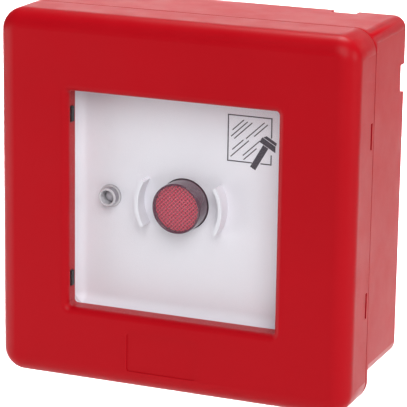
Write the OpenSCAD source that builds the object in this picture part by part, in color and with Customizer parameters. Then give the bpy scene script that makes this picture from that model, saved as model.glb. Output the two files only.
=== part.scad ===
// Manual call point: a surface-mounted box whose hinged cover holds a breakable pane
// over a lit push button. Millimetres. The origin is the centre of the cover's outline
// on the mounting face: X to the right, Y into the wall (the front faces -Y), Z up.

/* [Enclosure] */
// Width and height of the cover
cover_size = 120; // [116:1:124]
// Depth from the wall to the front face
depth = 50; // [49:0.5:52]
// Radius of the cover's corners, seen from the front
corner_r = 7.5; // [7:0.5:8.5]
// Radius of the cover's front edge
front_edge_r = 6; // [4:0.5:6.5]
// Wall thickness of the box and the cover
wall = 2.5; // [2.2:0.1:2.8]
// Height of the box's bottom above the cover's lower edge
bottom_rise = 7.5; // [6:0.5:8]
// Depth of the cover, from the parting line to the front
cover_depth = 18.4; // [18:0.1:19]

/* [Window] */
// Width and height of the opening in the cover
window_size = 70.8; // [68:0.2:71]
// Radius of the rounded lip round the opening
lip_r = 2.2; // [1.6:0.1:2.4]
// Thickness of the breakable pane
pane_t = 2; // [1.5:0.1:2]
// Depth of the pane's front below the front face
pane_drop = 2.5; // [2.4:0.1:2.8]

/* [Button] */
// Radius of the button's cap
button_r = 8.1; // [7.5:0.1:8.4]
// Height of the cap above the panel
button_h = 6.8; // [6:0.1:7]
// Travel of the button
button_travel = 4; // [3:0.1:4.2]
// Outer radius of the two guard ribs
guard_r = 14.9; // [13.5:0.1:16]
// Height of the guard ribs
guard_h = 5.3; // [4:0.1:5.5]
// Wall thickness of the guard ribs
guard_t = 1.2; // [0.8:0.1:1.6]

/* [Hidden] */
$fn = 64;
eps = 0.02;

front_y = -depth;
half = cover_size / 2;
cover_back_y = front_y + cover_depth - 0.2;
part_y = front_y + cover_depth + 0.2;
rim_t = 1.6;
rim_back_y = part_y + rim_t;
rim_inner = half - 6.2;
seal_w = 1.5;

// Box behind the rim
box_half = half - 1;
box_low = -half + bottom_rise;
box_high = box_half;
box_r = 4;
back_t = 3;
box_mid = (box_low + box_high) / 2;
box_h = box_high - box_low;

// Fixing holes in the back wall
fix_x = 40;
fix_z = 38;
fix_r = 2.25;

// Cable entry in the back wall
entry_x = 0;
entry_z = -36;
entry_r = 9;
cable_r = 3.5;

// Cover window, pane and the well behind the pane
pane_front_y = front_y + pane_drop;
pane_back_y = pane_front_y + pane_t;
well_half_x = 36.4;
well_half_z = 35.9;
well_wall = 1.8;
well_back_y = front_y + 8.2;
clip_z = 27;
clip_len = 5.4;
clip_back_y = pane_back_y + 2.1;

// Inner panel: a dished tray, whose rim stands just behind the well, on a flange
panel_front_y = front_y + 12;
tray_front_y = well_back_y + 0.4;
tray_half_x = 37.6;
tray_half_z = 37.1;
tray_r = 2.4;
tray_edge_r = 0.5;
dish_rim = 1;
dish_r = 3.1;
dish_cove_r = 3;
panel_t = 1.8;
flange_front_y = part_y - 2;
panel_back_y = part_y;
boss_x = 46;
boss_top_z = 46;
boss_low_z = -42;
screw_r = 1.25;

// Hinge along the left edge
hinge_r = 2;
hinge_x = -half + hinge_r;
hinge_y = part_y - hinge_r - 0.2;
hinge_z = 27;
knuckle_h = 6;
lug_h = 3.8;
lug_gap = 0.2;
pin_r = 0.8;

// Switch behind the panel
switch_front_y = panel_front_y + panel_t;
switch_back_y = switch_front_y + 15;
block_back_y = switch_back_y + 13.5;
block_x = 6.9;
stem_back_y = switch_back_y - 6.3;
bridge_rest = 5;
contact_bead = 0.35;
actuator_r = 1.7;
led_x = -25.5;

// 2D and solid helpers ---------------------------------------------------------------

// Rectangle with round corners, centred
module round_rect(w, h, r) {
    square([w - 2 * r, h], center = true);
    square([w, h - 2 * r], center = true);
    for (sx = [-1, 1], sz = [-1, 1])
        translate([sx * (w / 2 - r), sz * (h / 2 - r)]) circle(r);
}

// Front outline (x, z) given depth from y0 to y1
module slab(y0, y1) {
    translate([0, y1, 0]) rotate([90, 0, 0]) linear_extrude(y1 - y0) children();
}

// Round bar along Y from y0 to y1
module bar_y(r, y0, y1, x = 0, z = 0) {
    translate([x, y1, z]) rotate([90, 0, 0]) cylinder(r = r, h = y1 - y0);
}

// Block between two corners
module block(x0, x1, y0, y1, z0, z1) {
    translate([x0, y0, z0]) cube([x1 - x0, y1 - y0, z1 - z0]);
}

// Block with round corners of radius r whose front edge is rounded by e
module soft_block(w, h, r, e, y0, y1) {
    slab(y0 + e, y1) round_rect(w, h, r);
    slab(y0, y0 + e + eps) round_rect(w - 2 * e, h - 2 * e, r - e);
    for (sx = [-1, 1], sz = [-1, 1])
        translate([sx * (w / 2 - r), y0 + e, sz * (h / 2 - r)]) rotate([90, 0, 0])
            rotate_extrude() intersection() {
                translate([r - e, 0]) circle(e);
                square([r, e]);
            }
    for (sz = [-1, 1]) translate([0, y0 + e, sz * (h / 2 - e)]) rotate([0, 90, 0])
        cylinder(r = e, h = w - 2 * r, center = true);
    for (sx = [-1, 1]) translate([sx * (w / 2 - e), y0 + e, 0])
        cylinder(r = e, h = h - 2 * r, center = true);
}

// What is cut away to round the lip of a window by radius e
module lip_cut(size, r, e) {
    inner = size / 2;
    for (a = [0 : 90 : 270]) rotate([0, a, 0]) {
        translate([0, front_y, inner]) rotate([90, 0, 90])
            linear_extrude(size - 2 * r, center = true) lip_profile(e);
        translate([inner - r, front_y, inner - r]) rotate([90, 0, 0])
            rotate_extrude() translate([r, 0]) mirror([0, 1]) lip_profile_out(e);
    }
}

// Profile (depth, height) left outside a quarter round at the opening's edge
module lip_profile(e) {
    difference() {
        translate([-1, -0.5]) square([e + 1, e + 0.5]);
        translate([e, e]) circle(e);
    }
}

// The same profile as (distance from the corner's axis, depth)
module lip_profile_out(e) {
    difference() {
        translate([-0.3, -1]) square([e + 0.3, e + 1]);
        translate([e, e]) circle(e);
    }
}

// Slotted pan-head screw: the head's underside lies at y, the shank runs on behind it
module pan_screw(x, z, y, head_r, head_h, shank_r, shank_l, turn = 20) {
    difference() {
        union() {
            bar_y(head_r, y - head_h, y, x, z);
            bar_y(shank_r, y - eps, y + shank_l, x, z);
        }
        translate([x, y - head_h, z]) rotate([0, turn, 0])
            cube([head_r * 2.4, head_h, head_r * 0.28], center = true);
    }
}

// Round bar from y0 to y1 whose front end is a half sphere in front of y0
module dome_y(r, y0, y1, x = 0, z = 0) {
    translate([x, y0, z]) rotate([90, 0, 0]) rotate_extrude() union() {
        intersection() {
            circle(r);
            square([r, r]);
        }
        translate([0, y0 - y1]) square([r, y1 - y0 + eps]);
    }
}

// Ring of material along Y
module tube_y(r_out, r_in, y0, y1, x = 0, z = 0) {
    difference() {
        bar_y(r_out, y0, y1, x, z);
        bar_y(r_in, y0 - 1, y1 + 1, x, z);
    }
}

// Points of a ring of radius r in the plane across direction d at point p
function ring_points(p, d, r, n) =
    let (up = abs(d[2]) > 0.9 ? [1, 0, 0] : [0, 0, 1],
         u = cross(d, up) / norm(cross(d, up)),
         v = cross(u, d) / norm(cross(u, d)))
    [for (i = [0 : n - 1]) p + r * (cos(360 * i / n) * u + sin(360 * i / n) * v)];

// Direction of a route at its point i
function heading(pts, i) =
    let (a = pts[max(i - 1, 0)], b = pts[min(i + 1, len(pts) - 1)]) (b - a) / norm(b - a);

// Round wire swept along a route
module wire(pts, r, n = 8) {
    count = len(pts);
    rings = [for (i = [0 : count - 1]) each ring_points(pts[i], heading(pts, i), r, n)];
    sides = [for (i = [0 : count - 2], j = [0 : n - 1])
        [i * n + j, i * n + (j + 1) % n, (i + 1) * n + (j + 1) % n, (i + 1) * n + j]];
    start = [for (j = [n - 1 : -1 : 0]) j];
    end = [for (j = [0 : n - 1]) (count - 1) * n + j];
    polyhedron(points = rings, faces = concat([start], sides, [end]), convexity = 6);
}

// Points of a compression spring along Y
function coil_points(r, y0, y1, turns, per_turn, x = 0, z = 0) =
    [for (i = [0 : turns * per_turn])
        let (a = 360 * i / per_turn, t = i / (turns * per_turn))
        [x + r * cos(a), y0 + (y1 - y0) * t, z + r * sin(a)]];

// Smooth route between three given points, as a quadratic curve
function curve(a, b, c, n) =
    [for (i = [0 : n]) let (t = i / n) (1 - t) * (1 - t) * a + 2 * t * (1 - t) * b + t * t * c];

// Housing --------------------------------------------------------------------------

// Moulded box with its front rim, panel bosses, fixing holes and hinge lugs
module base_box() color("#c2201f") {
    difference() {
        union() {
            translate([0, 0, box_mid]) slab(rim_back_y - eps, 0)
                round_rect(2 * box_half, box_h, box_r);
            slab(part_y, rim_back_y) round_rect(cover_size, cover_size, corner_r);
        }
        translate([0, 0, box_mid]) slab(rim_back_y, -back_t)
            round_rect(2 * (box_half - wall), box_h - 2 * wall, box_r - 1.5);
        translate([0, 0, (rim_inner + box_low + wall) / 2]) slab(part_y - 1, rim_back_y + eps)
            round_rect(2 * rim_inner, rim_inner - box_low - wall, box_r - 1.5);
        for (sx = [-1, 1], sz = [-1, 1]) bar_y(fix_r, -back_t - 1, 1, sx * fix_x, sz * fix_z);
        bar_y(entry_r, -back_t - 1, 1, entry_x, entry_z);
        bar_y(entry_r + 1.4, -1, 1, entry_x, entry_z);
        surface_cable_cuts();
    }
    difference() {
        union() {
            for (sx = [-1, 1], bz = [boss_top_z, boss_low_z])
                bar_y(4, part_y, -back_t + eps, sx * boss_x, bz);
            for (sx = [-1, 1], bz = [boss_top_z, boss_low_z])
                block(min(sx * boss_x, sx * 57.5), max(sx * boss_x, sx * 57.5),
                    part_y + 6, -back_t + eps, bz - 0.8, bz + 0.8);
        }
        for (sx = [-1, 1], bz = [boss_top_z, boss_low_z])
            bar_y(screw_r, part_y - 1, part_y + 12, sx * boss_x, bz);
    }
    for (sz = [-1, 1], side = [-1, 1]) translate([0, 0, sz * hinge_z + side * lug_offset()]) hinge_lug();
    for (sz = [-1, 1]) latch_tongue(sz * clip_z);
}

function lug_offset() = knuckle_h / 2 + lug_gap + lug_h / 2;

// Entries for a cable run on the wall surface, cut in the back edge
module surface_cable_cuts() {
    block(box_half - wall - 1, box_half + 1, -3.5, 1, 34.9, 43.8);
    block(35, 43.4, -3.5, 1, box_high - wall - 1, box_high + 1);
}

// One ear of a hinge, standing on the rim and bored for the pin
module hinge_lug() {
    difference() {
        union() {
            translate([hinge_x, hinge_y, 0]) cylinder(r = hinge_r - 0.2, h = lug_h, center = true);
            block(hinge_x - hinge_r + 0.2, hinge_x + hinge_r - 0.2, hinge_y, part_y + eps,
                -lug_h / 2, lug_h / 2);
        }
        translate([hinge_x, hinge_y, 0]) cylinder(r = pin_r, h = lug_h + 2, center = true);
    }
}

// Springy tongue with a bead that lies behind a slot in the cover's right side
module latch_tongue(z) {
    block(half - 5, half - 3.4, part_y - 5, part_y + 8, z - 3.5, z + 3.5);
    translate([half - 3.4, part_y - 3.2, z]) cylinder(r = 0.6, h = 7, center = true);
}

// Flat seal on the rim's inner lip, clear of the cover's swing
module parting_seal() color("#1b1b1d") slab(part_y - 0.9, part_y) difference() {
    round_rect(2 * (rim_inner + seal_w + 0.4), 2 * (rim_inner + seal_w + 0.4), corner_r - 4);
    round_rect(2 * (rim_inner + 0.4), 2 * (rim_inner + 0.4), corner_r - 5.5);
    for (sz = [-1, 1]) translate([half - 4.2, sz * clip_z]) square([4, 8], center = true);
    for (sz = [-1, 1]) translate([-half + 3, sz * hinge_z]) square([5, 15.6], center = true);
}

// Rubber grommet in the rear cable entry
module cable_grommet() color("#26262a") translate([entry_x, 0, entry_z]) rotate([90, 0, 0])
    rotate_extrude() difference() {
        union() {
            translate([cable_r, 0.1]) square([entry_r + 1.3 - cable_r, 0.9]);
            translate([cable_r, 0.5]) square([entry_r - cable_r, back_t + 0.5]);
            translate([cable_r, back_t]) square([entry_r + 2 - cable_r, 1.6]);
        }
        translate([entry_r + 2, back_t + 1.6]) circle(0.8);
    }

// Panel ------------------------------------------------------------------------------

// White moulded panel: flange, dished tray, guard ribs and its openings
module inner_panel() color("#ece8ec") difference() {
    union() {
        difference() {
            soft_block(2 * tray_half_x, 2 * tray_half_z, tray_r, tray_edge_r, tray_front_y,
                panel_back_y);
            dish();
        }
        translate([0, 0, (boss_top_z + boss_low_z) / 2]) slab(flange_front_y, panel_back_y)
            round_rect(2 * boss_x + 10, boss_top_z - boss_low_z + 10, 4);
        guard_ribs();
    }
    slab(panel_front_y + panel_t, panel_back_y + 1)
        round_rect(2 * (tray_half_x - panel_t), 2 * (tray_half_z - panel_t), 2);
    bar_y(button_r + 0.3, panel_front_y - 1, panel_back_y);
    bar_y(2.95, panel_front_y - 1, panel_back_y, led_x);
    for (sx = [-1, 1], bz = [boss_top_z, boss_low_z])
        bar_y(1.7, flange_front_y - 1, panel_back_y + 1, sx * boss_x, bz);
    for (sx = [-1, 1]) bar_y(1.1, panel_front_y + 0.9, panel_back_y, sx * 14, sx * 14);
}

// Hollow of the tray, with a coved edge round its floor
module dish() mirror([0, 1, 0]) soft_block(2 * (tray_half_x - dish_rim),
    2 * (tray_half_z - dish_rim), dish_r, dish_cove_r, -panel_front_y, 1 - tray_front_y);

// Two upright arcs that guard the button from a sidelong knock
module guard_ribs() {
    slab(panel_front_y - guard_h, panel_front_y + 0.5) intersection() {
        difference() {
            circle(guard_r);
            circle(guard_r - guard_t);
        }
        union() for (s = [-1, 1])
            polygon([[0, 0], [s * 20, 20 * tan(31.5)], [s * 20, -20 * tan(31.5)]]);
    }
}

// Four screws that hold the panel on the box's bosses
module panel_screws() color("#b9bcc0") for (sx = [-1, 1], bz = [boss_top_z, boss_low_z])
    pan_screw(sx * boss_x, bz, flange_front_y, 2.8, 1.8, screw_r, 11, 20 + 35 * sx + bz);

// Printed symbol: a window pane with glints and a hammer
module panel_symbol() color("#4f4852") translate([21.8, 0, 23.2])
    slab(panel_front_y - 0.08, panel_front_y) {
        difference() {
            square([14.8, 15], center = true);
            square([14.1, 14.3], center = true);
            translate([6.9, -1.6]) square([2, 5.4], center = true);
            translate([2.3, -7.2]) square([2.9, 2], center = true);
        }
        for (g = [[-3.9, 4.3, 5.1], [-3.5, 3.0, 7.4], [-2.2, 2.6, 8.1], [1.8, 3.0, 8.2],
                  [3.7, 3.2, 6.1], [-3.9, -2.0, 5.0], [-3.3, -3.2, 8.2], [0.6, -2.7, 7.6],
                  [0.2, -4.6, 5.8]])
            translate([g[0], g[1]]) rotate(43) square([g[2], 0.32], center = true);
        translate([6.1, -1.3]) rotate(-30) hammer_outline();
    }

// Hammer: a head with a chamfered peen, a light line along it, and a straight handle
module hammer_outline() {
    polygon([[-2.9, -0.6], [-2.9, 1.15], [2.2, 1.15], [3.2, -0.6]]);
    polygon([[-2.6, 1.37], [-1.9, 2.3], [2.0, 2.3], [2.3, 1.37]]);
    translate([-0.4, -5]) square([2, 8.4], center = true);
}

// Switch ------------------------------------------------------------------------------

// Guide for the stem, screwed to posts behind the panel
module switch_housing() color("#2b2c30") difference() {
    union() {
        slab(switch_front_y + 0.1, switch_front_y + 2.4) round_rect(36, 36, 4);
        slab(switch_front_y + 2, switch_back_y) round_rect(26, 26, 3);
    }
    bar_y(button_r + 0.35, switch_front_y - 1, switch_back_y - 1.6);
    for (sx = [-1, 1])
        bar_y(actuator_r + 0.5, stem_back_y - 0.5, switch_back_y + 1, sx * block_x);
    bar_y(2.3, switch_back_y - 3, switch_back_y + 1);
    for (sx = [-1, 1]) bar_y(1.1, switch_front_y - 1, switch_front_y + 4, sx * 14, sx * 14);
}

// Two screws through the switch housing into the panel
module switch_screws() color("#b9bcc0") for (sx = [-1, 1])
    mirror([0, 1, 0]) pan_screw(sx * 14, sx * 14, -switch_front_y - 2.4, 2, 1.3, 1, 3, 40 * sx);

// Clear smoky cap over the lens
module button_cap() color("#6b4a55") difference() {
    bar_y(button_r, panel_front_y - button_h, panel_front_y + 4.4);
    bar_y(button_r - 1.1, panel_front_y - button_h + 0.9, panel_front_y + 5);
}

// Red waffle lens behind the cap's face
module button_lens() color("#c0304a")
    bar_y(button_r - 1.12, panel_front_y - button_h + 0.92, panel_front_y - button_h + 2.6);

// White stem: a cup under the lens, a ledge for the spring and a skirt that pushes the actuators
module button_stem() color("#f0ede6") {
    tube_y(button_r - 1.12, button_r - 2.4, panel_front_y - button_h + 2.62, panel_front_y + 4.6);
    tube_y(button_r - 2, 3.8, panel_front_y + 1.5, panel_front_y + 2.7);
    tube_y(button_r - 0.02, button_r - 2.4, panel_front_y + 4.58, stem_back_y);
}

// Return spring between the stem's ledge and the housing's floor
module return_spring() color("#c9ccd0") wire(coil_points(4.4,
    panel_front_y + 3.15, switch_back_y - 2.05, 6, 12), 0.4, 8);

// Post that carries the lamp inside the stem
module lamp_holder() color("#d9d4c8") {
    bar_y(2.2, panel_front_y + 4, switch_back_y);
    bar_y(3.4, panel_front_y + 3, panel_front_y + 5.5);
}

// Lamp: a domed capsule on its post
module button_lamp() color("#f4e9d8") dome_y(2.4, panel_front_y + 2.7, panel_front_y + 2.98);

// Contact block (side -1 closes when pressed, side 1 opens), with open terminal pockets
module contact_block(side) {
    x = side * block_x;
    y = contact_y(side);
    difference() {
        block(x - 5.4, x + 5.4, switch_back_y + 0.1, block_back_y, -14, 14);
        block(x - 3.8, x + 3.8, switch_back_y + 1.5, block_back_y - 1.5, -7.6, 7.6);
        bar_y(actuator_r + 0.08, switch_back_y - 1, switch_back_y + 3, x);
        for (sz = [-1, 1]) mirror([0, 0, sz < 0 ? 1 : 0]) {
            block(x - 3.2, x + 3.2, switch_back_y + 3.5, block_back_y + 1, 8.4, 15);
            block(x - 1.6, x + 1.6, y - 0.05, y + 0.55, 7, 9);
        }
    }
}

function bridge_y(side) = switch_back_y + bridge_rest + (side < 0 ? 0 : contact_bead);
function contact_y(side) = side < 0
    ? bridge_y(side) + 0.6 + contact_bead + button_travel + eps
    : bridge_y(side) - contact_bead - 0.5 - eps;
function terminal_y(side) = side < 0 ? contact_y(side) + 0.8 : switch_back_y + 8.6;

module no_block() color("#d8d6cf") contact_block(-1);
module nc_block() color("#d8d6cf") contact_block(1);

// Plunger of a contact block, with the collar that stops it
module actuator(side) {
    x = side * block_x;
    bar_y(actuator_r + 0.25, stem_back_y + 0.05, stem_back_y + 0.9, x);
    bar_y(actuator_r, stem_back_y + 0.8, switch_back_y + 2.6, x);
    bar_y(1.1, switch_back_y + 2.5, bridge_y(side), x);
}

module no_actuator() color("#2f8f4e") actuator(-1);
module nc_actuator() color("#c63a33") actuator(1);

// Moving contact bridge with its two beads
module bridge(side) {
    x = side * block_x;
    y = bridge_y(side);
    bead_y = side < 0 ? y + 0.6 - eps : y - contact_bead;
    block(x - 1.3, x + 1.3, y, y + 0.6, -6.8, 6.8);
    for (sz = [-1, 1]) bar_y(0.9, bead_y, bead_y + contact_bead + eps, x, sz * 5.6);
}

module no_bridge() color("#c79a52") bridge(-1);
module nc_bridge() color("#c79a52") bridge(1);

// Fixed contacts that run out of the block to the terminal screws
module terminals(side) {
    x = side * block_x;
    y = contact_y(side);
    for (sz = [-1, 1]) mirror([0, 0, sz < 0 ? 1 : 0]) difference() {
        union() {
            block(x - 1.5, x + 1.5, y, y + 0.5, 4.4, 12.6);
            block(x - 1.5, x + 1.5, y, terminal_y(side), 8.6, 12.6);
        }
        bar_y(1.05, y - 1, block_back_y, x, 10.6);
    }
}

module no_terminals() color("#cfa75f") terminals(-1);
module nc_terminals() color("#cfa75f") terminals(1);

// Screws in the contact blocks' terminals, turned from the rear
module terminal_screws() color("#c4c6c9") for (side = [-1, 1], sz = [-1, 1])
    mirror([0, 1, 0]) pan_screw(side * block_x, sz * 10.6, -terminal_y(side) - eps,
        1.9, 1.2, 1, terminal_y(side) - contact_y(side), 30 * side * sz);

// Springs behind the contact bridges
module contact_spring(side) wire(coil_points(1.3, bridge_y(side) + 0.9, block_back_y - 1.8, 3, 10,
    side * block_x), 0.22, 6);

module no_spring() color("#c9ccd0") contact_spring(-1);
module nc_spring() color("#c9ccd0") contact_spring(1);

// Status light ---------------------------------------------------------------------------

// Small circuit board behind the panel's light
module led_board() color("#2f6d46") difference() {
    block(led_x - 7, led_x + 4.6, panel_front_y + 5.2, panel_front_y + 6.8, -9, 9);
    for (sz = [-1, 1]) bar_y(0.6, panel_front_y + 5, panel_front_y + 7, led_x - 4.5, sz * 6.5);
}

// Clear collar round the light, pressed into the panel
module led_bezel() color("#dcd8de") translate([led_x, panel_front_y, 0]) rotate([90, 0, 0])
    rotate_extrude() difference() {
        union() {
            translate([2.15, -2.4]) square([0.78, 3]);
            translate([2.15, 0]) square([0.85, 3.4]);
            translate([2.15, 0]) square([1.55, 0.5]);
        }
        translate([3.3, 3.6]) circle(0.5);
    }

// Round light-emitting diode, sunk in its collar
module status_led() color("#8d868c") {
    dome_y(1.95, panel_front_y + 0.9, panel_front_y + 4.25, led_x);
    bar_y(2.5, panel_front_y + 4.2, panel_front_y + 5.18, led_x);
}

// Series resistor on the board
module led_resistor() color("#c9b48a") {
    translate([led_x - 4.5, panel_front_y + 3.9, 0]) cylinder(r = 1.2, h = 6, center = true);
    for (sz = [-1, 1]) {
        translate([led_x - 4.5, panel_front_y + 3.9, sz > 0 ? 2.9 : -6.5]) cylinder(r = 0.3, h = 3.6);
        bar_y(0.3, panel_front_y + 3.9, panel_front_y + 7.4, led_x - 4.5, sz * 6.5);
    }
}

// Wiring terminals ------------------------------------------------------------------------

term_x = 32;
term_z = -14;
term_pitch = 6.5;

// Row of four insulated terminals on the back wall
module terminal_block() color("#e6e3da") difference() {
    for (i = [0 : 3]) translate([0, 0, term_z + i * term_pitch])
        block(term_x - 7, term_x + 7, -15, -back_t, 0, term_pitch - 0.3 * (i < 3 ? 0 : 1));
    for (i = [0 : 3]) translate([term_x, 0, term_z + (i + 0.5) * term_pitch]) {
        translate([0, -9, 0]) rotate([0, 90, 0]) cylinder(r = 2.15, h = 16, center = true);
        for (sx = [-1, 1]) bar_y(1.9, -16, -9, sx * 3.4);
    }
}

// Brass clamp sleeves in the terminals
module terminal_clamps() color("#cfa75f") for (i = [0 : 3])
    translate([term_x, -9, term_z + (i + 0.5) * term_pitch]) rotate([0, 90, 0]) difference() {
        cylinder(r = 2.1, h = 12, center = true);
        cylinder(r = 1.3, h = 14, center = true);
    }

// Clamping screws, turned from the front
module clamp_screws() color("#c4c6c9") for (i = [0 : 3], sx = [-1, 1])
    pan_screw(term_x + sx * 3.4, term_z + (i + 0.5) * term_pitch, -13.4, 1.8, 1.3, 1.1, 2.2, 25 * i);

// Height of terminal way i on the back wall
function way_z(i) = term_z + (i + 0.5) * term_pitch;

// Two leads from the opening contact's ends to the outer terminal ways
module lamp_leads() color("#b33a2e") for (s = [-1, 1]) {
    way = way_z(s > 0 ? 3 : 0);
    wire(concat(
        curve([block_x, -14.5, s * 12.7], [block_x, -14.5, s * 19], [14, -12, s * 19], 8),
        curve([15, -11.6, s * 19], [22, -9.2, s * 19], [22, -9, s * 14], 7),
        curve([22, -9, s * 13], [22, -9, way], [term_x - 7.05, -9, way], 6)), 0.8, 8);
}

// Two leads from the light's board, behind the switch to the inner terminal ways
module led_leads() color("#33485e") for (s = [-1, 1]) {
    way = way_z(s > 0 ? 2 : 1);
    wire(concat(
        curve([led_x - 1, panel_front_y + 6.85, s * 3], [led_x - 1, -5.4, s * 3],
            [-12, -5.4, s * 3], 12),
        curve([11, -5.4, s * 3], [17, -5.4, s * 3], [20, -7, (s * 3 + way) / 2], 6),
        curve([21, -7.6, (s * 3 + way) / 2 + 0.1], [22.6, -8.9, way], [term_x - 7.05, -9, way], 5)),
        0.7, 8);
}

// Cover ----------------------------------------------------------------------------------

// Steel pins fixed in the lugs
module hinge_pins() color("#b9bcc0") for (sz = [-1, 1])
    translate([hinge_x, hinge_y, sz * hinge_z])
        cylinder(r = pin_r, h = knuckle_h + 2 * (lug_gap + lug_h), center = true);

// Hinged front with its window, the pane's well, hinge knuckles and latch slots
module front_cover() color("#c4161c") difference() {
    union() {
        difference() {
            union() {
                difference() {
                    soft_block(cover_size, cover_size, corner_r, front_edge_r, front_y, cover_back_y);
                    soft_block(cover_size - 2 * wall, cover_size - 2 * wall, corner_r - wall,
                        front_edge_r - wall, front_y + wall, cover_back_y + 1);
                }
                slab(front_y + 1, well_back_y)
                    round_rect(2 * (well_half_x + well_wall), 2 * (well_half_z + well_wall), 2.4);
                for (sz = [-1, 1])
                    block(hinge_x - 1.9, hinge_x + 1.8, hinge_y - 3.6, hinge_y,
                        sz * hinge_z - knuckle_h / 2, sz * hinge_z + knuckle_h / 2);
            }
            hinge_relief();
        }
        for (sz = [-1, 1]) translate([hinge_x, hinge_y, sz * hinge_z])
            cylinder(r = hinge_r - 0.2, h = knuckle_h, center = true);
    }
    slab(front_y - 1, pane_front_y + eps) round_rect(window_size, window_size, 1.2);
    lip_cut(window_size, 1.2, lip_r);
    slab(pane_front_y, well_back_y + 1) round_rect(2 * well_half_x, 2 * well_half_z, 1.2);
    for (sz = [-1, 1]) {
        block(-50, 50, pane_back_y, clip_back_y + 0.1, sz * clip_z - clip_len / 2,
            sz * clip_z + clip_len / 2);
        translate([hinge_x, hinge_y, sz * hinge_z])
            cylinder(r = pin_r + 0.05, h = knuckle_h + 2, center = true);
        block(half - wall - 0.5, half + 1, part_y - 3.1, part_y - 1.7, sz * clip_z - 4.2,
            sz * clip_z + 4.2);
        for (side = [-1, 1]) block(-half - 1, hinge_x + hinge_r + 0.6, hinge_y - 2.3, part_y + 1,
            sz * hinge_z + side * lug_offset() - lug_h / 2 - lug_gap,
            sz * hinge_z + side * lug_offset() + lug_h / 2 + lug_gap);
    }
    slab(front_y - 1, front_y + 0.35) translate([-2.3, -47.6]) round_rect(24, 12.6, 1);
}

// Rounds the cover's left rear edge about the hinge axis
module hinge_relief() difference() {
    block(-half - 1, hinge_x, hinge_y, part_y + 1, -half - 1, half + 1);
    translate([hinge_x, hinge_y, 0]) cylinder(r = hinge_r, h = 2 * half + 4, center = true);
}

// Clear breakable pane
module glass_pane() color("#dfe9ea", 0.3) slab(pane_front_y + 0.02, pane_back_y - 0.02)
    round_rect(2 * well_half_x - 0.3, 2 * well_half_z - 0.3, 1.2);

// Four black clips that hold the pane in its seat
module pane_clips() color("#161417") for (sx = [-1, 1], sz = [-1, 1])
    translate([0, 0, sz * clip_z]) scale_side(sx) {
        block(well_half_x + 0.15, well_half_x + well_wall + 1.2, pane_back_y + 0.05, clip_back_y,
            -clip_len / 2 + 0.1, clip_len / 2 - 0.1);
        block(well_half_x - 0.7, well_half_x + 0.3, pane_back_y, clip_back_y - 0.2,
            -clip_len / 2 + 0.3, clip_len / 2 - 0.3);
    }

// Mirrors what is on the right to the left
module scale_side(sx) mirror([sx < 0 ? 1 : 0, 0, 0]) children();

base_box();
parting_seal();
cable_grommet();
inner_panel();
panel_screws();
panel_symbol();
switch_housing();
switch_screws();
button_cap();
button_lens();
button_stem();
return_spring();
lamp_holder();
button_lamp();
no_block();
nc_block();
no_actuator();
nc_actuator();
no_bridge();
nc_bridge();
no_terminals();
nc_terminals();
terminal_screws();
no_spring();
nc_spring();
led_board();
led_bezel();
status_led();
led_resistor();
terminal_block();
terminal_clamps();
clamp_screws();
lamp_leads();
led_leads();
hinge_pins();
front_cover();
glass_pane();
pane_clips();
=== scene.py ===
"""Manual call point: materials, fine shapes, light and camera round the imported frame."""
import math

import bmesh
import bpy
from mathutils import Matrix, Vector


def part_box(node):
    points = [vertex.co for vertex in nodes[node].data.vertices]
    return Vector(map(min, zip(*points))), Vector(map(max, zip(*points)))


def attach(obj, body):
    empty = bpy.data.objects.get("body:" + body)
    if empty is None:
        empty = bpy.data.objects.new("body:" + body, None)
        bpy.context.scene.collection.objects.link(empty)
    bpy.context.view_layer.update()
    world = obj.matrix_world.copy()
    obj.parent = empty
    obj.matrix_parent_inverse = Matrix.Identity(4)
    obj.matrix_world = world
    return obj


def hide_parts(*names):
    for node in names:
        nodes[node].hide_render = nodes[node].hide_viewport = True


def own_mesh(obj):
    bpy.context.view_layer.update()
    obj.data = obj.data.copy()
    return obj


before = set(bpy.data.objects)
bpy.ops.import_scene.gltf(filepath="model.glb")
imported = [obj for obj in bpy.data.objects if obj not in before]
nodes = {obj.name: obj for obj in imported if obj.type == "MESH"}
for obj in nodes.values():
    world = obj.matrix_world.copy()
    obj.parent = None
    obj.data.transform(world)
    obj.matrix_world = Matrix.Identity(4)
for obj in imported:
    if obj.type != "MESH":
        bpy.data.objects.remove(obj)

MM = 0.001
WAFFLE_PITCH = 0.95 * MM
SHARP_ANGLE = math.radians(40)
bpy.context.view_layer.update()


# Node and colour helpers --------------------------------------------------------------

def linear(hex_colour):
    """sRGB hex to the linear colour that the shader takes."""
    channels = [int(hex_colour[i:i + 2], 16) / 255 for i in (0, 2, 4)]
    lin = [c / 12.92 if c <= 0.04045 else ((c + 0.055) / 1.055) ** 2.4 for c in channels]
    return (*lin, 1.0)


def add(tree, kind, settings=None, links=None):
    """Adds one node. Settings are its own properties or input values, links are sockets."""
    node = tree.nodes.new(kind)
    for key, value in (settings or {}).items():
        if isinstance(key, str) and hasattr(node, key):
            setattr(node, key, value)
        else:
            node.inputs[key].default_value = value
    for key, socket in (links or {}).items():
        tree.links.new(socket, node.inputs[key])
    return node


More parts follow.
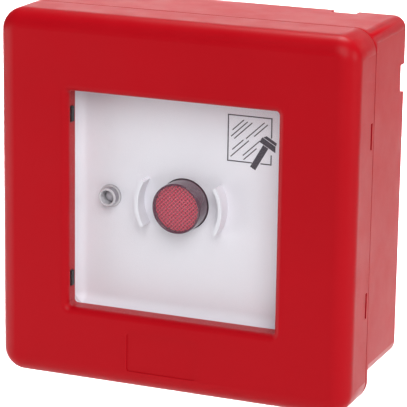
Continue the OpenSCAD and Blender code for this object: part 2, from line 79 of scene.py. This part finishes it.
class Finish:
    """A material being made: its shader, and where its patterns read their place."""

    def __init__(self, name, **shader):
        self.material = bpy.data.materials.new(name)
        self.material.use_nodes = True
        self.tree = self.material.node_tree
        self.shader = self.tree.nodes["Principled BSDF"]
        for key, value in shader.items():
            self.shader.inputs[key.replace("_", " ")].default_value = value
        self.place = add(self.tree, "ShaderNodeTexCoord").outputs["Object"]

    def noise(self, size_mm, detail=2.0, stretch=(1, 1, 1)):
        """Random pattern whose lumps are size_mm across, longer where stretch is small."""
        moved = add(self.tree, "ShaderNodeMapping", {"Scale": stretch}, {"Vector": self.place})
        return add(self.tree, "ShaderNodeTexNoise", {"Scale": 1 / (size_mm * MM), "Detail": detail},
                   {"Vector": moved.outputs["Vector"]}).outputs["Fac"]

    def two_tone(self, first, second, size_mm, stretch=(1, 1, 1)):
        """Colour that drifts between two close tones over size_mm."""
        mix = add(self.tree, "ShaderNodeMix", {"data_type": "RGBA", 6: linear(first),
                  7: linear(second)}, {0: self.noise(size_mm, stretch=stretch)})
        self.tree.links.new(mix.outputs[2], self.shader.inputs["Base Color"])

    def worn_gloss(self, low, high, size_mm):
        """Roughness that drifts between low and high, as handling leaves it."""
        spread = add(self.tree, "ShaderNodeMapRange", {"From Min": 0.3, "From Max": 0.7,
                     "To Min": low, "To Max": high}, {"Value": self.noise(size_mm, detail=4.0)})
        self.tree.links.new(spread.outputs["Result"], self.shader.inputs["Roughness"])

    def grain(self, size_mm, depth_mm, stretch=(1, 1, 1), strength=0.5):
        """Fine relief of depth_mm, in lumps size_mm across. Moulded grain is really about 0.1 mm
        wide and is drawn coarser so that it shows."""
        bump = add(self.tree, "ShaderNodeBump", {"Strength": strength, "Distance": depth_mm * MM},
                   {"Height": self.noise(size_mm, detail=3.0, stretch=stretch)})
        self.tree.links.new(bump.outputs["Normal"], self.shader.inputs["Normal"])


# Materials ----------------------------------------------------------------------------

def red_abs_moulded(name="red_abs_moulded", first="C00518", second="B80415"):
    """ABS moulded in a fine spark-eroded tool: satin red that pales at low angles. Its specular
    level is below the usual 0.5, which keeps the red deep."""
    made = Finish(name, IOR=1.5, Specular_IOR_Level=0.16)
    made.two_tone(first, second, 42)
    made.worn_gloss(0.34, 0.42, 9)
    made.grain(0.45, 0.008)
    return made.material


def red_cover_abs_moulded():
    """The same ABS from another shot: a trace deeper."""
    return red_abs_moulded("red_cover_abs_moulded", "BF0517", "B60414")


def white_abs_moulded():
    """White ABS moulded satin, with a faint lilac cast and soft flow marks."""
    made = Finish("white_abs_moulded", IOR=1.5)
    made.two_tone("F3F3FA", "EEEDF5", 26, stretch=(1.6, 1, 0.5))
    made.worn_gloss(0.4, 0.48, 12)
    made.grain(0.6, 0.008)
    return made.material


def clear_glass_float():
    """Thin float glass: nearly invisible, with a pale veil and a faint ripple."""
    made = Finish("clear_glass_float", IOR=1.52, Alpha=0.015)
    made.two_tone("E9EEF0", "E2E9EC", 40)
    made.worn_gloss(0.03, 0.07, 25)
    made.grain(30, 0.02, strength=0.2)
    return made.material


def black_rubber_moulded():
    """EPDM rubber: matt black with a dusty bloom."""
    made = Finish("black_rubber_moulded", IOR=1.5)
    made.two_tone("17171A", "222226", 3)
    made.worn_gloss(0.68, 0.84, 4)
    made.grain(0.5, 0.02)
    return made.material


def black_polyamide_moulded():
    """Glass-filled polyamide: near black, dull, slightly streaked."""
    made = Finish("black_polyamide_moulded", IOR=1.53)
    made.two_tone("121114", "1D1B20", 5, stretch=(1, 1, 0.2))
    made.worn_gloss(0.5, 0.62, 3)
    made.grain(0.4, 0.012)
    return made.material


def grey_ink_printed():
    """Pad-printed ink: flat dark grey, thin at its edges."""
    made = Finish("grey_ink_printed", IOR=1.48)
    made.two_tone("3E3742", "4A434F", 0.9)
    made.worn_gloss(0.5, 0.6, 2)
    made.grain(0.2, 0.004)
    return made.material


def smoky_polycarbonate_moulded():
    """Smoke-tinted polycarbonate, polished: deep plum grey with a sharp gloss."""
    made = Finish("smoky_polycarbonate_moulded", IOR=1.58, Coat_Weight=0.3, Coat_Roughness=0.05)
    made.two_tone("52233A", "5E2E44", 6)
    made.worn_gloss(0.1, 0.18, 5)
    made.grain(1.2, 0.004, strength=0.2)
    return made.material


def smoky_window_moulded():
    """The cap's thin clear face: it only greys and softens what lies behind it."""
    made = Finish("smoky_window_moulded", IOR=1.58, Alpha=0.1)
    made.two_tone("B595A4", "A88998", 6)
    made.worn_gloss(0.06, 0.12, 5)
    made.grain(1.2, 0.003, strength=0.2)
    return made.material


def red_acrylic_waffle():
    """Red acrylic lens moulded with a field of small pits, with dark spots of painted shade at the same
    pitch. The faint emission is the lamp behind it."""
    made = Finish("red_acrylic_waffle", IOR=1.49, Emission_Strength=0.1)
    made.shader.inputs["Emission Color"].default_value = linear("E0304A")
    flat = add(made.tree, "ShaderNodeMapping", {"Rotation": (math.pi / 2, 0, math.pi / 4)},
               {"Vector": made.place})
    cells = add(made.tree, "ShaderNodeTexVoronoi", {"voronoi_dimensions": "2D", "Randomness": 0.0,
                "Scale": 1 / WAFFLE_PITCH}, {"Vector": flat.outputs["Vector"]})
    # The dark spots are painted shade of the pits, laid at the pits' own pitch.
    spot_r, ground_r = 0.24, 0.48  # where a dark spot starts to fade and where it ends, in pitches
    spot = add(made.tree, "ShaderNodeMapRange", {"From Min": spot_r, "From Max": ground_r},
               {"Value": cells.outputs["Distance"]})
    tone = add(made.tree, "ShaderNodeMix", {"data_type": "RGBA", 6: linear("4A0420"),
               7: linear("E61F48")}, {0: spot.outputs["Result"]})
    made.tree.links.new(tone.outputs[2], made.shader.inputs["Base Color"])
    made.worn_gloss(0.12, 0.22, 3)
    made.grain(0.3, 0.006, strength=0.3)
    return made.material


def ivory_acetal_moulded():
    """Acetal: milky ivory, waxy and slightly see-through."""
    made = Finish("ivory_acetal_moulded", IOR=1.48, Subsurface_Weight=0.15, Subsurface_Scale=0.001)
    made.two_tone("EEEAE0", "E6E1D5", 6)
    made.worn_gloss(0.32, 0.42, 4)
    made.grain(0.5, 0.006)
    return made.material


def clear_epoxy_cast():
    """Epoxy of a light-emitting diode, drawn as the grey that shows through its clear body."""
    made = Finish("clear_epoxy_cast", IOR=1.54, Coat_Weight=0.6, Coat_Roughness=0.04)
    made.two_tone("C9C3CA", "B8B1B9", 1.5)
    made.worn_gloss(0.12, 0.2, 1.5)
    made.grain(0.4, 0.003, strength=0.2)
    return made.material


def clear_acrylic_turned():
    """Clear acrylic collar: glossy and a little see-through, pale with painted light that it gathers
    from the panel's white.
    """
    made = Finish("clear_acrylic_turned", IOR=1.49, Alpha=0.78, Coat_Weight=1.0, Coat_Roughness=0.04)
    made.two_tone("F8F6FA", "E2DEE5", 1.8)
    made.worn_gloss(0.04, 0.1, 1.5)
    made.grain(0.5, 0.004, strength=0.2)
    return made.material


def clear_acrylic_painted_shade():
    """The same acrylic as a painted-shade copy: greyer and darker, as it looks seen through its edge."""
    made = Finish("clear_acrylic_painted_shade", IOR=1.49, Coat_Weight=1.0, Coat_Roughness=0.04)
    made.two_tone("6F6A72", "8B868E", 1.5)
    made.worn_gloss(0.06, 0.12, 1.5)
    made.grain(0.5, 0.004, strength=0.2)
    return made.material


def metal(name, first, second, low, high, streak_mm, stretch):
    """Bare or plated metal: two close tones and fine tool lines."""
    made = Finish(name, Metallic=1.0)
    made.two_tone(first, second, 2)
    made.worn_gloss(low, high, 1.5)
    made.grain(streak_mm, 0.01, stretch=stretch)
    return made.material


def spring_steel_drawn():
    """Drawn spring wire: bright grey with fine lines along the wire."""
    return metal("spring_steel_drawn", "B9BBBE", "A2A5A9", 0.22, 0.34, 0.2, (1, 0.3, 1))


def zinc_steel_plated():
    """Zinc-plated steel: pale grey with a bluish cast and soft blotches."""
    return metal("zinc_steel_plated", "C3C7CC", "AEB3BA", 0.26, 0.4, 0.6, (1, 1, 1))


def brass_stamped():
    """Stamped brass: warm yellow, dulled where it was handled."""
    return metal("brass_stamped", "CFA75F", "B98D47", 0.24, 0.4, 0.5, (1, 1, 1))


def polyamide_moulded(name, first, second):
    """Coloured polyamide: even and satin, with the tool's fine grain."""
    made = Finish(name, IOR=1.53)
    made.two_tone(first, second, 4)
    made.worn_gloss(0.4, 0.52, 3)
    made.grain(0.4, 0.01)
    return made.material


def grey_polyamide_moulded():
    """Light grey polyamide of the contact blocks and wiring terminals."""
    return polyamide_moulded("grey_polyamide_moulded", "D8D5CD", "CBC8C0")


def green_polyamide_moulded():
    """Green polyamide marks the plunger of the closing contact."""
    return polyamide_moulded("green_polyamide_moulded", "2F8F4E", "277D43")


def red_polyamide_moulded():
    """Red polyamide marks the plunger of the opening contact."""
    return polyamide_moulded("red_polyamide_moulded", "C63A33", "B4302A")


def circuit_laminate_etched():
    """Glass-epoxy board: green lacquer over a woven base, 0.5 mm weave."""
    made = Finish("circuit_laminate_etched", IOR=1.55, Coat_Weight=0.5, Coat_Roughness=0.15)
    made.two_tone("2C6A44", "235638", 0.5)
    made.worn_gloss(0.3, 0.42, 2)
    made.grain(0.5, 0.01, stretch=(1, 1, 0.5))
    return made.material


def beige_lacquer_dipped():
    """Dipped lacquer of a resistor: beige and slightly glossy."""
    made = Finish("beige_lacquer_dipped", IOR=1.5)
    made.two_tone("C9B48A", "BCA67A", 1.2)
    made.worn_gloss(0.25, 0.38, 1.5)
    made.grain(0.4, 0.02)
    return made.material


def pvc_extruded(name, first, second):
    """Extruded PVC insulation: soft gloss with lines along the wire."""
    made = Finish(name, IOR=1.53)
    made.two_tone(first, second, 5)
    made.worn_gloss(0.32, 0.45, 3)
    made.grain(0.3, 0.01)
    return made.material


def red_pvc_extruded():
    """Red insulation of the opening contact's leads."""
    return pvc_extruded("red_pvc_extruded", "B3302A", "A12822")


def blue_pvc_extruded():
    """Blue-grey insulation of the status light's leads."""
    return pvc_extruded("blue_pvc_extruded", "33485E", "2B3D50")


def white_paper_sweep():
    """Matt, nearly white background paper with a barely visible tooth."""
    made = Finish("white_paper_sweep", IOR=1.5)
    made.two_tone("DEDEDE", "DADADA", 400)
    made.worn_gloss(0.85, 0.95, 60)
    made.grain(3, 0.05)
    return made.material


finish_of = {
    "red_abs": red_abs_moulded(),
    "red_cover": red_cover_abs_moulded(),
    "white_abs": white_abs_moulded(),
    "pane_glass": clear_glass_float(),
    "black_rubber": black_rubber_moulded(),
    "black_polyamide": black_polyamide_moulded(),
    "symbol_ink": grey_ink_printed(),
    "smoky_polycarbonate": smoky_polycarbonate_moulded(),
    "red_lens": red_acrylic_waffle(),
    "ivory_acetal": ivory_acetal_moulded(),
    "lamp_clear": clear_epoxy_cast(),
    "collar_clear": clear_acrylic_turned(),
    "collar_painted_shade": clear_acrylic_painted_shade(),
    "cap_window": smoky_window_moulded(),
    "spring_steel": spring_steel_drawn(),
    "zinc_steel": zinc_steel_plated(),
    "grey_polyamide": grey_polyamide_moulded(),
    "green_polyamide": green_polyamide_moulded(),
    "red_polyamide": red_polyamide_moulded(),
    "brass": brass_stamped(),
    "circuit_laminate": circuit_laminate_etched(),
    "resistor_lacquer": beige_lacquer_dipped(),
    "red_pvc": red_pvc_extruded(),
    "blue_pvc": blue_pvc_extruded(),
}

CAD_FINISH = {
    "base_box": "red_abs",
    "front_cover": "red_cover",
    "inner_panel": "white_abs",
    "glass_pane": "pane_glass",
    "parting_seal": "black_rubber",
    "cable_grommet": "black_rubber",
    "pane_clips": "black_polyamide",
    "switch_housing": "black_polyamide",
    "panel_symbol": "symbol_ink",
    "button_stem": "ivory_acetal",
    "lamp_holder": "ivory_acetal",
    "button_lamp": "lamp_clear",
    "status_led": "lamp_clear",
    "led_bezel": "collar_clear",
    "return_spring": "spring_steel",
    "no_spring": "spring_steel",
    "nc_spring": "spring_steel",
    "panel_screws": "zinc_steel",
    "switch_screws": "zinc_steel",
    "terminal_screws": "zinc_steel",
    "clamp_screws": "zinc_steel",
    "hinge_pins": "zinc_steel",
    "no_block": "grey_polyamide",
    "nc_block": "grey_polyamide",
    "terminal_block": "grey_polyamide",
    "no_actuator": "green_polyamide",
    "nc_actuator": "red_polyamide",
    "no_bridge": "brass",
    "nc_bridge": "brass",
    "no_terminals": "brass",
    "nc_terminals": "brass",
    "terminal_clamps": "brass",
    "led_board": "circuit_laminate",
    "led_resistor": "resistor_lacquer",
    "lamp_leads": "red_pvc",
    "led_leads": "blue_pvc",
}

# Radius that the mould leaves on the sharp edges of these parts
EDGE_RADIUS_MM = {
    "base_box": 0.3,
    "front_cover": 0.25,
    "inner_panel": 0.3,
    "pane_clips": 0.15,
    "switch_housing": 0.3,
    "no_block": 0.25,
    "nc_block": 0.25,
    "terminal_block": 0.3,
}
WELD_DISTANCE = 1e-6


def dress_cad_nodes():
    """Every CAD node in CAD_FINISH gets its procedural finish."""
    for name, finish in CAD_FINISH.items():
        mesh = nodes[name].data
        mesh.materials.clear()
        mesh.materials.append(finish_of[finish])


def soften_edges():
    """Rounds the sharp edges of moulded parts a little, as a mould leaves them."""
    for name, radius in EDGE_RADIUS_MM.items():
        weld = nodes[name].modifiers.new("weld", "WELD")
        weld.merge_threshold = WELD_DISTANCE
        bevel = nodes[name].modifiers.new("bevel", "BEVEL")
        bevel.width = radius * MM
        bevel.segments = 2
        bevel.limit_method = "ANGLE"
        bevel.angle_limit = SHARP_ANGLE
        bevel.harden_normals = False


# Pieces built here ----------------------------------------------------------------------

ROUND = 96
ON_AXIS = 1e-9
CORNER_ROOM = 2.1  # a rounded corner takes at most one part in this many of a side


def new_piece(name, build, body, stands_for, finishes):
    """Makes a piece from build(bmesh), lets it ride on its body and stand for CAD nodes."""
    mesh = bpy.data.meshes.new(name)
    form = bmesh.new()
    build(form)
    bmesh.ops.remove_doubles(form, verts=form.verts, dist=1e-7)
    bmesh.ops.recalc_face_normals(form, faces=form.faces)
    form.to_mesh(mesh)
    form.free()
    mesh.polygons.foreach_set("use_smooth", [True] * len(mesh.polygons))
    mesh.set_sharp_from_angle(angle=SHARP_ANGLE)
    for finish in finishes:
        mesh.materials.append(finish_of[finish])
    piece = bpy.data.objects.new(name, mesh)
    bpy.context.scene.collection.objects.link(piece)
    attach(piece, body)
    if stands_for:
        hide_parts(*stands_for)
    return piece


def turned(form, profile, axis_x=0.0):
    """Turns a closed outline of (radius, depth) points about an axis along Y at height zero."""
    angles = [2 * math.pi * i / ROUND for i in range(ROUND)]
    rings = []
    for radius, depth in profile:
        if radius < ON_AXIS:
            rings.append([form.verts.new((axis_x, depth, 0))] * ROUND)
            continue
        rings.append([form.verts.new((axis_x + radius * math.cos(a), depth, radius * math.sin(a)))
                      for a in angles])
    for ring, after in zip(rings, rings[1:] + rings[:1]):
        for i in range(ROUND):
            j = (i + 1) % ROUND
            corners = list(dict.fromkeys((ring[i], ring[j], after[j], after[i])))
            if len(corners) > 2:
                form.faces.new(corners)


def rounded(outline, radius, steps=5):
    """Outline of (radius, depth) points with each corner rounded, less where a side is short."""
    smooth = []
    count = len(outline)
    for i, corner in enumerate(outline):
        here = Vector(corner)
        before = Vector(outline[i - 1]) - here
        after = Vector(outline[(i + 1) % count]) - here
        cut = min(radius, before.length / CORNER_ROOM, after.length / CORNER_ROOM)
        start = here + before.normalized() * cut
        end = here + after.normalized() * cut
        for k in range(steps + 1):
            s = k / steps
            smooth.append(tuple((1 - s) ** 2 * start + 2 * s * (1 - s) * here + s * s * end))
    return smooth


cap_low, cap_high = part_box("button_cap")
lens_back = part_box("button_lens")[1].y
CAP_R = (cap_high.x - cap_low.x) / 2
CAP_RIM_ROUND = 0.35 * MM
LENS_R = CAP_R - 0.7 * MM
LENS_GAP = 0.02 * MM
WINDOW_SET_BACK = 0.12 * MM
WINDOW_THICK = 0.5 * MM
LENS_SET_BACK = 1.5 * MM
WAFFLE_RELIEF = 0.3 * MM
WAFFLE_STEPS = 6


def cap_wall(form):
    """Tube of the cap with a softly rounded front rim."""
    front, back, inner = cap_low.y, cap_high.y, LENS_R + LENS_GAP
    outline = [(CAP_R, back), (CAP_R, front), (inner, front), (inner, back)]
    turned(form, rounded(outline, CAP_RIM_ROUND))


def cap_window(form):
    """Thin clear face, set just inside the rim."""
    front = cap_low.y + WINDOW_SET_BACK
    back = front + WINDOW_THICK
    turned(form, [(0, front), (LENS_R, front), (LENS_R, back), (0, back)])


def pit_depth(x, z):
    """Depth of a field of small four-sided pits turned by 45 degrees, from 0 to 1."""
    across, along = (x + z) / math.sqrt(2), (x - z) / math.sqrt(2)
    return min(1 - abs(2 * (v / WAFFLE_PITCH % 1) - 1) for v in (across, along))


def waffle_lens(form):
    """Lens whose front is a field of small pits and whose edge and back are plain."""
    front, back = cap_low.y + LENS_SET_BACK, lens_back
    step = WAFFLE_PITCH / WAFFLE_STEPS
    count = int(LENS_R / step)
    grid = {}
    for i in range(-count - 1, count + 2):
        for j in range(-count - 1, count + 2):
            x, z = i * step, j * step
            reach = math.hypot(x, z)
            if reach > LENS_R + step * 1.5:
                continue
            pull = min(1.0, LENS_R / reach) if reach else 1.0
            depth = pit_depth(x, z) if pull == 1.0 else 0.0
            grid[i, j] = form.verts.new((x * pull, front + WAFFLE_RELIEF * depth, z * pull))
    for i, j in list(grid):
        corners = [grid.get(k) for k in ((i, j), (i + 1, j), (i + 1, j + 1), (i, j + 1))]
        if None not in corners:
            form.faces.new(corners)
    bmesh.ops.remove_doubles(form, verts=form.verts, dist=WELD_DISTANCE)
    rim = [e for e in form.edges if e.is_boundary]
    made = bmesh.ops.extrude_edge_only(form, edges=rim)["geom"]
    for vert in [g for g in made if isinstance(g, bmesh.types.BMVert)]:
        vert.co.y = back
    closing = [e for e in form.edges if e.is_boundary]
    bmesh.ops.contextual_create(form, geom=closing)


collar_low, collar_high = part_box("led_bezel")
COLLAR_X = (collar_low.x + collar_high.x) / 2
FLANGE_R = (collar_high.x - collar_low.x) / 2
FLANGE_THICK = 0.5 * MM
COLLAR_RISE = 3.4 * MM
COLLAR_R = 3.0 * MM
COLLAR_BORE_R = 2.15 * MM
COLLAR_ROUND = 0.12 * MM
COLLAR_SNUG = 0.07 * MM
COLLAR_SHELL = 0.15 * MM
CHAMFER_IN = 0.35 * MM
CHAMFER_BACK = 0.7 * MM
FUNNEL_IN = 0.3 * MM
FUNNEL_BACK = 0.5 * MM
FACING_FRONT = 0.8


def led_collar(form):
    """Collar with a flange on the panel, a chamfered front and a funnel inside."""
    front, back = collar_low.y, collar_high.y
    panel = front + COLLAR_RISE
    flange = panel - FLANGE_THICK
    shank_r = COLLAR_R - COLLAR_SNUG
    outline = [(shank_r, back), (shank_r, panel), (FLANGE_R, panel), (FLANGE_R, flange),
               (COLLAR_R, flange), (COLLAR_R, front + CHAMFER_BACK), (COLLAR_R - CHAMFER_IN, front),
               (COLLAR_BORE_R + FUNNEL_IN, front), (COLLAR_BORE_R, front + FUNNEL_BACK),
               (COLLAR_BORE_R, back)]
    turned(form, rounded(outline, COLLAR_ROUND, steps=3), COLLAR_X)
    bmesh.ops.recalc_face_normals(form, faces=form.faces)
    # The outer wall takes the painted-shade copy of the acrylic; the rest takes the pale painted-light
    # copy.
    for face in form.faces:
        middle = face.calc_center_median()
        reach = math.hypot(middle.x - COLLAR_X, middle.z)
        outer_wall = reach > COLLAR_R - COLLAR_SHELL and abs(face.normal.y) < FACING_FRONT
        face.material_index = 1 if outer_wall else 0


def button_and_collar():
    """The pieces of the button's front and the light's collar."""
    new_piece("button_cap_wall", cap_wall, "button", ["button_cap"], ["smoky_polycarbonate"])
    new_piece("button_cap_window", cap_window, "button", [], ["cap_window"])
    new_piece("button_waffle_lens", waffle_lens, "button", ["button_lens"], ["red_lens"])
    new_piece("status_collar", led_collar, "housing", ["led_bezel"], ["collar_clear", "collar_painted_shade"])


WIRE_SIDES = 10
STEPS_PER_TURN = 24


def coil(form, low, high, wire_r, turns):
    """Sweeps round wire along a helix about Y that just fills the box from low to high."""
    centre = (low + high) / 2
    coil_r = (high.x - low.x) / 2 - wire_r
    count = turns * STEPS_PER_TURN
    sides = [2 * math.pi * k / WIRE_SIDES for k in range(WIRE_SIDES)]
    along = Vector((0, 1, 0))
    rings = []
    for i in range(count + 1):
        angle = 2 * math.pi * i / STEPS_PER_TURN
        outward = Vector((math.cos(angle), 0, math.sin(angle)))
        depth = low.y + wire_r + (high.y - low.y - 2 * wire_r) * i / count
        middle = Vector((centre.x, depth, centre.z)) + outward * coil_r
        rings.append([form.verts.new(middle + wire_r * (math.cos(t) * outward + math.sin(t) * along))
                      for t in sides])
    for ring, after in zip(rings, rings[1:]):
        for k in range(WIRE_SIDES):
            j = (k + 1) % WIRE_SIDES
            form.faces.new((ring[k], ring[j], after[j], after[k]))
    form.faces.new(rings[0])
    form.faces.new(rings[-1])


def spring(node, wire_mm, turns):
    """Coil in place of a CAD spring, built at full length on the housing. The real spring shortens by
    the button's travel when it is pressed.
    """
    low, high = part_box(node)
    piece = new_piece(node + "_wire", lambda form: coil(form, low, high, wire_mm * MM, turns),
                      "housing", [node], ["spring_steel"])
    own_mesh(piece)


def springs():
    """The return spring and the two contact springs."""
    spring("return_spring", 0.4, 6)
    spring("no_spring", 0.22, 3)
    spring("nc_spring", 0.22, 3)


# Stage, light and camera --------------------------------------------------------------

FLOOR_Z = -0.25
WALL_Y = 2.4
FRONT_Y = -4.0
SWEEP_R = 0.9
SWEEP_HALF = 4.0
SWEEP_TOP = 3.2


def paper_sweep():
    """Floor that curves up into a back wall, as a paper background hangs."""
    bend = [math.radians(a) for a in range(0, 91, 6)]
    line = [(FRONT_Y, FLOOR_Z)]
    line += [(WALL_Y - SWEEP_R + SWEEP_R * math.sin(a), FLOOR_Z + SWEEP_R - SWEEP_R * math.cos(a))
             for a in bend]
    line.append((WALL_Y, SWEEP_TOP))
    mesh = bpy.data.meshes.new("paper_sweep")
    points = [(side * SWEEP_HALF, y, z) for y, z in line for side in (-1, 1)]
    faces = [(2 * i, 2 * i + 1, 2 * i + 3, 2 * i + 2) for i in range(len(line) - 1)]
    mesh.from_pydata(points, [], faces)
    mesh.polygons.foreach_set("use_smooth", [True] * len(faces))
    sweep = bpy.data.objects.new("paper_sweep", mesh)
    sweep.data.materials.append(white_paper_sweep())
    bpy.context.scene.collection.objects.link(sweep)


def softbox(name, place, aim, width, height, watts, spread):
    """Rectangular soft light at place that faces aim, with its beam spread degrees wide. The camera
    doesn't see it."""
    data = bpy.data.lights.new(name, "AREA")
    data.shape = "RECTANGLE"
    data.size, data.size_y = width, height
    data.energy = watts
    data.spread = math.radians(spread)
    lamp = bpy.data.objects.new(name, data)
    lamp.location = place
    lamp.rotation_euler = (Vector(aim) - Vector(place)).to_track_quat("-Z", "Y").to_euler()
    lamp.visible_camera = False
    bpy.context.scene.collection.objects.link(lamp)


# name, place and aim in metres, width and height in metres, watts, beam spread in degrees
SOFT_BOXES = [
    ("key_box", (0.75, -1.5, 1.2), (0, 0, 0), 1.5, 1.5, 29, 180),
    ("top_box", (0, 0.5, 1.25), (0, 0, 0), 0.7, 0.5, 11, 180),
    ("right_box", (1.2, -0.1, 0.3), (0, 0, 0), 0.6, 0.6, 4.5, 180),
    ("low_left_box", (-0.6, -0.32, -0.15), (-0.03, 0, -0.03), 0.55, 0.45, 1.8, 180),
    ("rear_box", (-0.85, 1.62, 0.4), (0, 0, 0), 0.9, 0.35, 1.6, 180),
    ("backdrop_box", (-0.6, 1.0, 1.4), (-0.6, 1.05, -0.25), 1.2, 0.8, 34, 70),
]
SURROUND_STRENGTH = 0.12


def studio_light():
    """Soft boxes in front, above, at both sides and behind, one for the backdrop, and a dim surround."""
    for box in SOFT_BOXES:
        softbox(*box)
    world = bpy.data.worlds.new("studio_surround")
    bpy.context.scene.world = world
    world.use_nodes = True
    background = world.node_tree.nodes["Background"]
    background.inputs["Color"].default_value = linear("F7F8FA")
    background.inputs["Strength"].default_value = SURROUND_STRENGTH


CAMERA_PLACE = Vector((282.0, -704.2, 190.1)) * MM
CAMERA_TURN = math.radians(22.46)
CAMERA_TILT = math.radians(14.7)
CAMERA_ROLL = math.radians(0.83)
LENS_MM = 209.4
SENSOR_MM = 36


def look():
    """Camera to the right of the object and a little above it, with a long lens."""
    forward = Vector((-math.sin(CAMERA_TURN) * math.cos(CAMERA_TILT),
                      math.cos(CAMERA_TURN) * math.cos(CAMERA_TILT), -math.sin(CAMERA_TILT)))
    level = Vector((math.cos(CAMERA_TURN), math.sin(CAMERA_TURN), 0))
    upright = level.cross(forward)
    right = math.cos(CAMERA_ROLL) * level + math.sin(CAMERA_ROLL) * upright
    up = math.cos(CAMERA_ROLL) * upright - math.sin(CAMERA_ROLL) * level
    data = bpy.data.cameras.new("camera")
    data.lens = LENS_MM
    data.sensor_width = SENSOR_MM
    data.clip_start, data.clip_end = 0.01, 20
    camera = bpy.data.objects.new("camera", data)
    turn = Matrix((right, up, -forward)).transposed()
    camera.matrix_world = Matrix.Translation(CAMERA_PLACE) @ turn.to_4x4()
    bpy.context.scene.collection.objects.link(camera)
    bpy.context.scene.camera = camera


dress_cad_nodes()
soften_edges()
button_and_collar()
springs()
paper_sweep()
studio_light()
look()
bpy.context.scene.view_settings.view_transform = "Standard"
